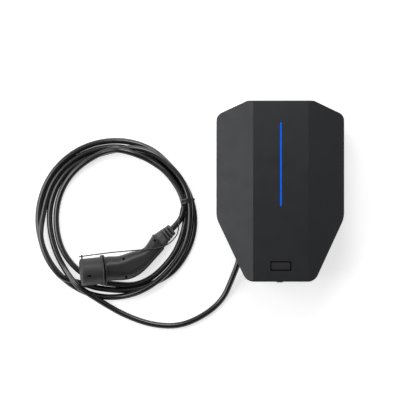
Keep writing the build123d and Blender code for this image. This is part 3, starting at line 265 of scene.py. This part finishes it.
def plated(name, tone, gloss):
    """Metal with a fine brushed unevenness."""
    material, tree, shader, place = surface(name)
    brushing = noise(tree, place, brushing_scale, detail=2.0)
    worn = [c * brushed_tone for c in tone]
    tree.links.new(tinted(tree, brushing, worn, tone), shader.inputs["Base Color"])
    uneven_gloss = spread(tree, brushing, gloss * (1 - brushed_gloss_sway), gloss * (1 + brushed_gloss_sway))
    tree.links.new(uneven_gloss, shader.inputs["Roughness"])
    shader.inputs["Metallic"].default_value = 1.0
    return material


def lit_strip(name, tone, strength):
    """Milky strip that glows along its middle, in soft waves that are each two lamps long."""
    material, tree, shader, place = surface(name)
    shader.inputs["Base Color"].default_value = (*unlit_tone, 1)
    shader.inputs["Roughness"].default_value = unlit_gloss
    shader.inputs["Specular IOR Level"].default_value = unlit_sheen
    waves = tree.nodes.new("ShaderNodeTexWave")
    waves.wave_type = "BANDS"
    waves.bands_direction = "Y"
    waves.inputs["Scale"].default_value = 2 * pi / glow_wave / wave_node_rate
    tree.links.new(place, waves.inputs["Vector"])
    dimmed = [c * glow_dip for c in tone]
    tree.links.new(tinted(tree, waves.outputs["Fac"], dimmed, tone), shader.inputs["Emission Color"])
    aside = reckoned(tree, "ABSOLUTE", axes_of(tree, place)[0])
    glow = spread(
        tree, aside, strength, strength * glow_at_end,
        start=strip_width * glow_full_share, end=strip_width * glow_end_share,
    )
    tree.links.new(glow, shader.inputs["Emission Strength"])
    return material


cover_black = moulded("cover_black", (0.018, 0.019, 0.022), gloss=0.46, grain=(1500.0, 0.00012), cloud=0.06)
slot_finishes = {
    # Painted shade in the recess round the plate
    "cover_plastic": with_recess_shade_painted(cover_black, badge_shade_place, badge_shade_size),
    "tray_plastic": moulded("tray_black", (0.022, 0.022, 0.024), gloss=0.5, grain=(900.0, 0.0001)),
    "light_strip": lit_strip("strip_blue", (0.0, 0.125, 0.85), strength=1.0),
    "badge": moulded("badge_dark", (0.03, 0.03, 0.033), gloss=0.34, grain=(2200.0, 0.00003)),
    "cable_jacket": moulded(
        "jacket_black", (0.008, 0.008, 0.009), gloss=0.25, grain=(700.0, 0.00001), cloud=0.25, cloud_scale=9.0
    ),
    "connector_plastic": moulded(
        "handle_black", (0.031, 0.031, 0.033), gloss=0.4, grain=(1300.0, 0.00008)
    ),
    "soft_rubber": moulded("rubber_black", (0.03, 0.03, 0.031), gloss=0.5, grain=(1100.0, 0.00008)),
    "seal_rubber": moulded("seal_grey", (0.03, 0.03, 0.03), gloss=0.7, grain=(800.0, 0.0001)),
    "nylon": moulded("nylon_black", (0.02, 0.02, 0.022), gloss=0.34, grain=(900.0, 0.00004)),
    "steel": plated("zinc_steel", (0.5, 0.5, 0.51), gloss=0.35),
    "black_steel": plated("blackened_steel", (0.03, 0.03, 0.032), gloss=0.5),
    "brass": plated("turned_brass", (0.7, 0.5, 0.2), gloss=0.3),
    "silvered": plated("silver_plate", (0.75, 0.74, 0.7), gloss=0.25),
    "grey_plastic": moulded("unit_grey", (0.4, 0.4, 0.4), gloss=0.5, grain=(900.0, 0.00005), cloud=0.04),
    "board": moulded("board_green", (0.02, 0.15, 0.06), gloss=0.35, grain=(600.0, 0.00003)),
    "wire_jacket": moulded("wire_dark", (0.05, 0.05, 0.06), gloss=0.4, grain=(900.0, 0.00003)),
}
jacket_sheen = 1.0
jacket_shader = slot_finishes["cable_jacket"].node_tree.nodes["Principled BSDF"]
jacket_shader.inputs["Specular IOR Level"].default_value = jacket_sheen

# Finishes of pieces that don't look like the rest of their slot
# Middle of the band of painted shade round the cap's bead
cap_shade_band_middle = on_connector(cap_shade_band_x, 0)
cap_black = moulded("cap_black", (0.046, 0.046, 0.047), gloss=0.5, grain=(1100.0, 0.00008))
# Painted shade over the recess of the cap's mark
cap_black = with_recess_shade_painted(cap_black, cap_mark_shade_place, cap_mark_shade_size)
boot_grey = moulded("boot_grey", (0.095, 0.095, 0.097), gloss=0.55, grain=(1000.0, 0.0001))
own_finishes = {
    # Painted shade round the bead of the cap's mouth
    "protective_cap": with_shade_bands_painted(cap_black, [cap_shade_band_middle], connector_back, cap_shade_band_width),
    # Painted shade in the slots of the boot
    "lead_boot": with_shade_bands_painted(boot_grey, boot_slots, boot_slot_direction, boot_slot_shade_width),
    "tether_cord": moulded("tether_black", (0.035, 0.035, 0.038), gloss=0.26, grain=(1500.0, 0.00003)),
    # The wraps are paler than the cord they belong to: a painted highlight
    "tether_wrap": moulded("wrap_painted_highlight_grey", (0.14, 0.14, 0.145), gloss=0.3, grain=(1500.0, 0.00003)),
}
node_slots = {part["node"]: part["material_slot"] for part in frame["record"]["subparts"]}


def dress(piece, slot, finish=None):
    """The finish of a record's slot, or the piece's own, put on a piece in place of what it had."""
    piece.data.materials.clear()
    piece.data.materials.append(finish or slot_finishes[slot])


for node_name, node_piece in frame["nodes"].items():
    dress(node_piece, node_slots[node_name], own_finishes.get(node_name))

# How finely a cord's line and its round section are divided
cord_steps = 8
cord_section_steps = 6


# Cords
def soft_line(name, points, radius):
    """Round cord along one smooth curve that the points pull."""
    curve = bpy.data.curves.new(name, "CURVE")
    curve.dimensions = "3D"
    curve.bevel_depth = radius
    curve.bevel_resolution = cord_section_steps
    curve.use_fill_caps = True
    spline = curve.splines.new("NURBS")
    spline.points.add(len(points) - 1)
    for point, place in zip(spline.points, points):
        point.co = (*place, 1)
    spline.order_u = 3
    spline.use_endpoint_u = True
    spline.resolution_u = cord_steps
    piece = bpy.data.objects.new(name, curve)
    bpy.context.scene.collection.objects.link(piece)
    return piece


def placed(points):
    """Places of points given in millimetres."""
    return [Vector(point) * millimetre for point in points]


lead_thickness = 13.0
lead_diameter = lead_thickness * millimetre
lead_exit = Vector((-85.0, -119.4, 30.0)) * millimetre
ground_route = [
    (-85.0, -133.0, 30.0), (-89.0, -156.0, 28.5), (-103.0, -192.0, 17.5), (-122.0, -236.0, 6.5),
    (-160.0, -270.0, 6.5), (-217.0, -296.0, 6.5), (-279.0, -292.5, 6.5), (-335.0, -272.5, 6.5),
    (-378.0, -248.5, 8.5), (-407.0, -229.0, 20.4),
]
# Each turn of the coil runs clockwise: its points' angles, radii and, off the ground, heights
first_turn = [
    (244, 170.3, 21.5), (237, 165.5, 20.0), (230, 161.0, 13.0), (222, 156.0, 7.5), (210, 151.5),
    (195, 147.5), (180, 146.8), (165, 147.5), (150, 148.6), (135, 149.2), (120, 147.0), (105, 145.5),
    (97, 146.5, 10.0), (90, 149.5, 16.0), (82, 154.0, 19.3), (75, 159.0, 19.3), (60, 164.5, 19.3),
    (45, 164.1, 19.3), (30, 166.3, 19.3), (15, 164.6, 18.7), (0, 161.0, 15.5), (345, 160.4, 12.5),
    (330, 160.3, 15.5), (315, 160.8, 19.0), (300, 164.0, 19.3), (285, 168.4, 16.0), (270, 172.0),
]
second_turn = [
    (255, 175.0), (240, 175.4), (225, 175.5), (210, 174.0), (195, 172.0), (180, 172.0), (165, 171.6),
    (150, 172.2), (135, 172.4), (120, 172.2), (105, 171.6), (90, 170.8), (75, 170.4), (60, 169.0),
    (45, 164.0), (30, 165.8), (15, 168.5), (0, 171.6), (345, 171.8), (330, 171.0), (315, 169.6),
    (300, 162.6), (285, 160.8), (270, 156.2),
]
third_turn = [
    (255, 156.8), (247, 157.8), (240, 161.0), (232, 169.5, 12.5), (225, 175.2, 19.0), (210, 174.0, 19.5),
    (195, 170.5, 18.0), (187, 165.5, 13.0), (180, 161.5, 8.5), (165, 158.8), (150, 160.6), (135, 160.2),
    (120, 159.1), (105, 158.0), (90, 157.0), (75, 154.6), (60, 152.5), (45, 152.0), (30, 153.1),
    (15, 153.6), (0, 151.4), (345, 148.0), (330, 147.6), (315, 147.4), (300, 150.5), (285, 150.6),
    (270, 143.0),
]
last_turn = [
    (255, 143.2), (240, 141.8), (225, 139.5), (210, 137.0), (195, 133.6), (180, 132.1), (165, 133.0),
    (150, 135.2, 8.0), (135, 137.5, 15.0), (120, 140.0, 19.2), (105, 145.4, 20.5), (97, 148.0, 24.0),
    (90, 149.6, 27.5), (82, 147.6, 28.5), (75, 146.0, 27.0), (67, 145.5, 23.0), (60, 146.0, 19.8),
    (45, 148.6, 19.2), (30, 149.4, 19.0), (20, 150.6, 18.7),
]
boot_approach = [(-206.5, -31.5, 17.5), (-209.6, -46.5, 14.4), (-215.3, -60.0, 12.4)]
boot_run_in = 14.5
on_ground = lead_thickness / 2
usual_step = radians(15.0)
lane_pull = 1 / cos(usual_step / 2)


def on_coil(angle, radius, height=on_ground):
    """Place of a point round the coil's centre, set out a little because the curve cuts its corners."""
    return Vector((
        coil_centre[0] + radius * lane_pull * cos(radians(angle)),
        coil_centre[1] + radius * lane_pull * sin(radians(angle)),
        height,
    )) * millimetre


lead_points = [lead_exit] + placed(ground_route)
for turn in (first_turn, second_turn, third_turn, last_turn):
    lead_points += [on_coil(*point) for point in turn]
lead_points += placed(boot_approach)
lead_points += [on_boot(boot_run_in), on_boot(0.0)]
lead = soft_line("charging_lead_whole", lead_points, lead_diameter / 2)
dress(lead, "cable_jacket")
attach(lead, "wallbox")
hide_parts("charging_lead", "lead_coil", "connector_lead")

tether_diameter = 2.6 * millimetre
tether_stub = 6.4 * millimetre
cap_eye_x = -43.6
cap_eye_y = 34.5
cap_eye = on_connector(cap_eye_x, cap_eye_y)
tether_route = placed([
    (-385.4, -134.5, 45.0), (-335.4, -129.5, 45.0), (-292.0, -126.0, 44.5), (-259.6, -122.5, 40.5),
    (-242.4, -115.4, 33.5), (-229.5, -103.6, 27.0), (-220.3, -90.5, 23.0), (-218.5, -66.0, 24.0),
    (-215.0, -37.0, 27.2), (-209.6, -25.9, 27.2),
])
tether_start = cap_eye - (tether_route[0] - cap_eye).normalized() * tether_stub
tether_points = [tether_start] + tether_route


def as_mesh(piece):
    """The piece as a plain mesh object of the same name."""
    graph = bpy.context.evaluated_depsgraph_get()
    mesh = bpy.data.meshes.new_from_object(piece.evaluated_get(graph))
    name = piece.name
    bpy.data.objects.remove(piece)
    made = bpy.data.objects.new(name, mesh)
    bpy.context.scene.collection.objects.link(made)
    return made


tether_line = as_mesh(soft_line("tether_line", tether_points, 0.0))
bpy.data.objects.remove(tether_line)
tether = as_mesh(soft_line("cap_tether_cord", tether_points, tether_diameter / 2))
dress(tether, "soft_rubber", own_finishes["tether_cord"])
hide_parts("cap_tether")
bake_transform(tether)

# Teeth of the cable tie, in millimetres
teeth_start = 149.5
tooth_sides = 12
tooth_sizes = {
    "Toothed Length": 24.0,
    "Tooth Pitch": 1.5,
    "Tooth Depth": 0.8,
    "Tooth Width": 3.4,
    "Tooth Height": 0.7,
}


def tie_teeth_tree():
    """Geometry nodes that set one low tooth after another along a strap."""
    tree = bpy.data.node_groups.new("tie_teeth", "GeometryNodeTree")
    for label, size in tooth_sizes.items():
        socket = tree.interface.new_socket(label, in_out="INPUT", socket_type="NodeSocketFloat")
        socket.default_value = size * millimetre
    tree.interface.new_socket("Finish", in_out="INPUT", socket_type="NodeSocketMaterial")
    tree.interface.new_socket("Geometry", in_out="OUTPUT", socket_type="NodeSocketGeometry")
    given = tree.nodes.new("NodeGroupInput").outputs
    run_end = tree.nodes.new("ShaderNodeCombineXYZ")
    run = tree.nodes.new("GeometryNodeMeshLine")
    run.mode = "END_POINTS"
    run.count_mode = "RESOLUTION"
    # A drum one unit across and one unit long is laid across the strap, then brought to a tooth's size
    tooth = tree.nodes.new("GeometryNodeMeshCylinder")
    tooth.fill_type = "NGON"
    tooth.inputs["Vertices"].default_value = tooth_sides
    tooth.inputs["Radius"].default_value = 0.5
    tooth.inputs["Depth"].default_value = 1.0
    laid = tree.nodes.new("GeometryNodeTransform")
    laid.inputs["Rotation"].default_value = (pi / 2, 0, 0)
    tooth_size = tree.nodes.new("ShaderNodeCombineXYZ")
    sized = tree.nodes.new("GeometryNodeTransform")
    set_out = tree.nodes.new("GeometryNodeInstanceOnPoints")
    realised = tree.nodes.new("GeometryNodeRealizeInstances")
    finished = tree.nodes.new("GeometryNodeSetMaterial")
    result = tree.nodes.new("NodeGroupOutput")
    for source, target in (
        (given["Toothed Length"], run_end.inputs["X"]),
        (run_end.outputs[0], run.inputs["Offset"]),
        (given["Tooth Pitch"], run.inputs["Resolution"]),
        (tooth.outputs["Mesh"], laid.inputs["Geometry"]),
        (given["Tooth Depth"], tooth_size.inputs["X"]),
        (given["Tooth Width"], tooth_size.inputs["Y"]),
        (given["Tooth Height"], tooth_size.inputs["Z"]),
        (laid.outputs["Geometry"], sized.inputs["Geometry"]),
        (tooth_size.outputs[0], sized.inputs["Scale"]),
        (run.outputs["Mesh"], set_out.inputs["Points"]),
        (sized.outputs["Geometry"], set_out.inputs["Instance"]),
        (set_out.outputs["Instances"], realised.inputs["Geometry"]),
        (realised.outputs["Geometry"], finished.inputs["Geometry"]),
        (given["Finish"], finished.inputs["Material"]),
        (finished.outputs["Geometry"], result.inputs["Geometry"]),
    ):
        tree.links.new(source, target)
    return tree


def from_tree(name, tree, finish, place):
    """Plain mesh object of what a tree makes, put in its place within the mesh."""
    piece = bpy.data.objects.new(name, bpy.data.meshes.new(name))
    bpy.context.scene.collection.objects.link(piece)
    maker = piece.modifiers.new("made", "NODES")
    maker.node_group = tree
    for item in tree.interface.items_tree:
        if item.name == "Finish":
            maker[item.identifier] = finish
    made = as_mesh(piece)
    made.data.transform(place)
    return made


def on_tie(radius, height):
    """Frame on the strap of the tie: x outwards, y across the strap, z up."""
    out = Vector((cos(tie_angle), sin(tie_angle), 0))
    across = Vector((-sin(tie_angle), cos(tie_angle), 0))
    up = Vector((0, 0, 1))
    centre = Vector((*coil_centre, height)) + out * radius
    turned = Matrix((out, across, up)).transposed().to_4x4()
    return Matrix.Translation(centre * millimetre) @ turned


tie_teeth = from_tree("tie_teeth", tie_teeth_tree(), slot_finishes["nylon"], on_tie(teeth_start, tie_top))
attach(tie_teeth, "wallbox")

# Head of the cable tie, in millimetres
tie_head_radius = 159.0
tie_head_size = (7.0, 6.4, 4.4)
tie_head_edge = 1.0
tie_head_sink = 0.3


def rounded_block(name, size, edge, place):
    """Block with rounded edges, in its place within the mesh."""
    shape = bmesh.new()
    bmesh.ops.create_cube(shape, size=1.0)
    bmesh.ops.scale(shape, vec=Vector(size) * millimetre, verts=shape.verts)
    bmesh.ops.bevel(
        shape, geom=list(shape.edges), offset=edge * millimetre, segments=4, profile=0.5, affect="EDGES"
    )
    bmesh.ops.transform(shape, matrix=place, verts=shape.verts)
    bmesh.ops.recalc_face_normals(shape, faces=shape.faces)
    mesh = bpy.data.meshes.new(name)
    shape.to_mesh(mesh)
    shape.free()
    piece = bpy.data.objects.new(name, mesh)
    bpy.context.scene.collection.objects.link(piece)
    return piece


tie_head_place = on_tie(tie_head_radius, tie_top + tie_head_size[2] / 2 - tie_head_sink)
tie_head = rounded_block("tie_head", tie_head_size, tie_head_edge, tie_head_place)
dress(tie_head, "nylon")
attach(tie_head, "wallbox")

# Two turns of the tether that hold its end to the coil, in millimetres
wrap_radius = 153.5
wrap_half_width = 10.0
wrap_half_height = 13.6
wrap_height = 15.2
wrap_points = 12
wrap_overlap = 3


def tether_wrap(name, angle, lean):
    """Turn of the tether round strands of the coil, whose two ends lie one over the other."""
    points = []
    for step in range(wrap_points + wrap_overlap):
        way = 2 * pi * (step % wrap_points) / wrap_points
        sideways = wrap_half_width * cos(way)
        upwards = wrap_half_height * sin(way)
        points.append(on_coil(angle + lean * sin(way), wrap_radius + sideways, wrap_height + upwards))
    wrap = as_mesh(soft_line(name, points, tether_diameter / 2))
    dress(wrap, "soft_rubber", own_finishes["tether_wrap"])
    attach(wrap, "wallbox")


tether_wrap("tether_wrap_first", angle=12.0, lean=0.9)
tether_wrap("tether_wrap_second", angle=16.2, lean=-0.6)

# Round floor whose edge bends up into a low backdrop: radius and height of its rings
floor_rings = [(3.0, 0.0), (3.4, 0.04), (3.7, 0.15), (3.9, 0.35), (4.0, 0.65), (4.0, 1.4)]
floor_sides = 64
floor_tone = (0.86, 0.86, 0.86, 1)
floor_gloss = 0.9
floor_sheen = 0.1
floor_glow = 0.66


def seen_strength(tree, strength):
    """Strength that only shows to the camera, in reflections and through glass."""
    rays = tree.nodes.new("ShaderNodeLightPath").outputs
    seen = reckoned(tree, "MAXIMUM", rays["Is Camera Ray"], rays["Is Glossy Ray"])
    seen = reckoned(tree, "MAXIMUM", seen, rays["Is Transmission Ray"])
    return reckoned(tree, "MULTIPLY", seen, strength)


floor_points = [
    (radius * cos(2 * pi * side / floor_sides), radius * sin(2 * pi * side / floor_sides), height)
    for radius, height in floor_rings
    for side in range(floor_sides)
]
floor_faces = [tuple(range(floor_sides))]
for ring in range(len(floor_rings) - 1):
    inner = ring * floor_sides
    outer = inner + floor_sides
    for side in range(floor_sides):
        beside = (side + 1) % floor_sides
        floor_faces.append((inner + beside, inner + side, outer + side, outer + beside))
floor_mesh = bpy.data.meshes.new("floor")
floor_mesh.from_pydata(floor_points, [], floor_faces)
floor = bpy.data.objects.new("floor", floor_mesh)
bpy.context.scene.collection.objects.link(floor)
floor_material, floor_tree, floor_shader = surface("floor_white")[:3]
floor_shader.inputs["Base Color"].default_value = floor_tone
floor_shader.inputs["Roughness"].default_value = floor_gloss
floor_shader.inputs["Specular IOR Level"].default_value = floor_sheen
floor_shader.inputs["Emission Color"].default_value = plain_white
floor_tree.links.new(seen_strength(floor_tree, floor_glow), floor_shader.inputs["Emission Strength"])
floor_mesh.materials.append(floor_material)

# Studio that is brighter at the upper left than at the lower right
bright_side = Vector((-0.6, 0.7, -0.1)).normalized()
sky_dim = 0.03
sky_bright = 0.4
sky_dim_end = -0.6
world = bpy.data.worlds.new("studio")
bpy.context.scene.world = world
world.use_nodes = True
sky_tree = world.node_tree
sky = sky_tree.nodes["Background"]
sky.inputs["Color"].default_value = plain_white
sky_place = sky_tree.nodes.new("ShaderNodeTexCoord")
towards_light = sky_tree.nodes.new("ShaderNodeVectorMath")
towards_light.operation = "DOT_PRODUCT"
towards_light.inputs[1].default_value = bright_side
sky_tree.links.new(sky_place.outputs["Generated"], towards_light.inputs[0])
sky_glow = spread(sky_tree, towards_light.outputs["Value"], sky_dim, sky_bright, start=sky_dim_end, end=1.0)
sky_tree.links.new(sky_glow, sky.inputs["Strength"])


def softbox(name, place, aim, size, power):
    """Square studio lamp that faces its aim."""
    lamp = bpy.data.lights.new(name, "AREA")
    lamp.shape = "SQUARE"
    lamp.size = size
    lamp.energy = power
    holder = bpy.data.objects.new(name, lamp)
    holder.location = place
    holder.rotation_euler = (Vector(aim) - Vector(place)).to_track_quat("-Z", "Y").to_euler()
    bpy.context.scene.collection.objects.link(holder)


left_of_middle = (-0.1, 0.0, 0.0)
box_middle = (0.0, 0.0, 0.0)
softbox("left_softbox", place=(-1.6, 0.05, 1.3), aim=left_of_middle, size=1.4, power=17.5)
softbox("upper_softbox", place=(-0.15, 0.85, 1.05), aim=left_of_middle, size=0.6, power=6.5)
softbox("right_fill", place=(1.5, 0.2, 1.7), aim=box_middle, size=1.2, power=2.4)

# Camera straight above, as in the photograph
camera_place = (-0.1508, -0.0402, 3.5)
sensor_width = 36.0
lens_length = 136.4
farthest_seen = 20.0
scene = bpy.context.scene
scene.view_settings.view_transform = "Standard"
camera_data = bpy.data.cameras.new("camera")
camera_data.sensor_width = sensor_width
camera_data.lens = lens_length
camera_data.clip_end = farthest_seen
camera = bpy.data.objects.new("camera", camera_data)
camera.location = camera_place
scene.collection.objects.link(camera)
scene.camera = camera
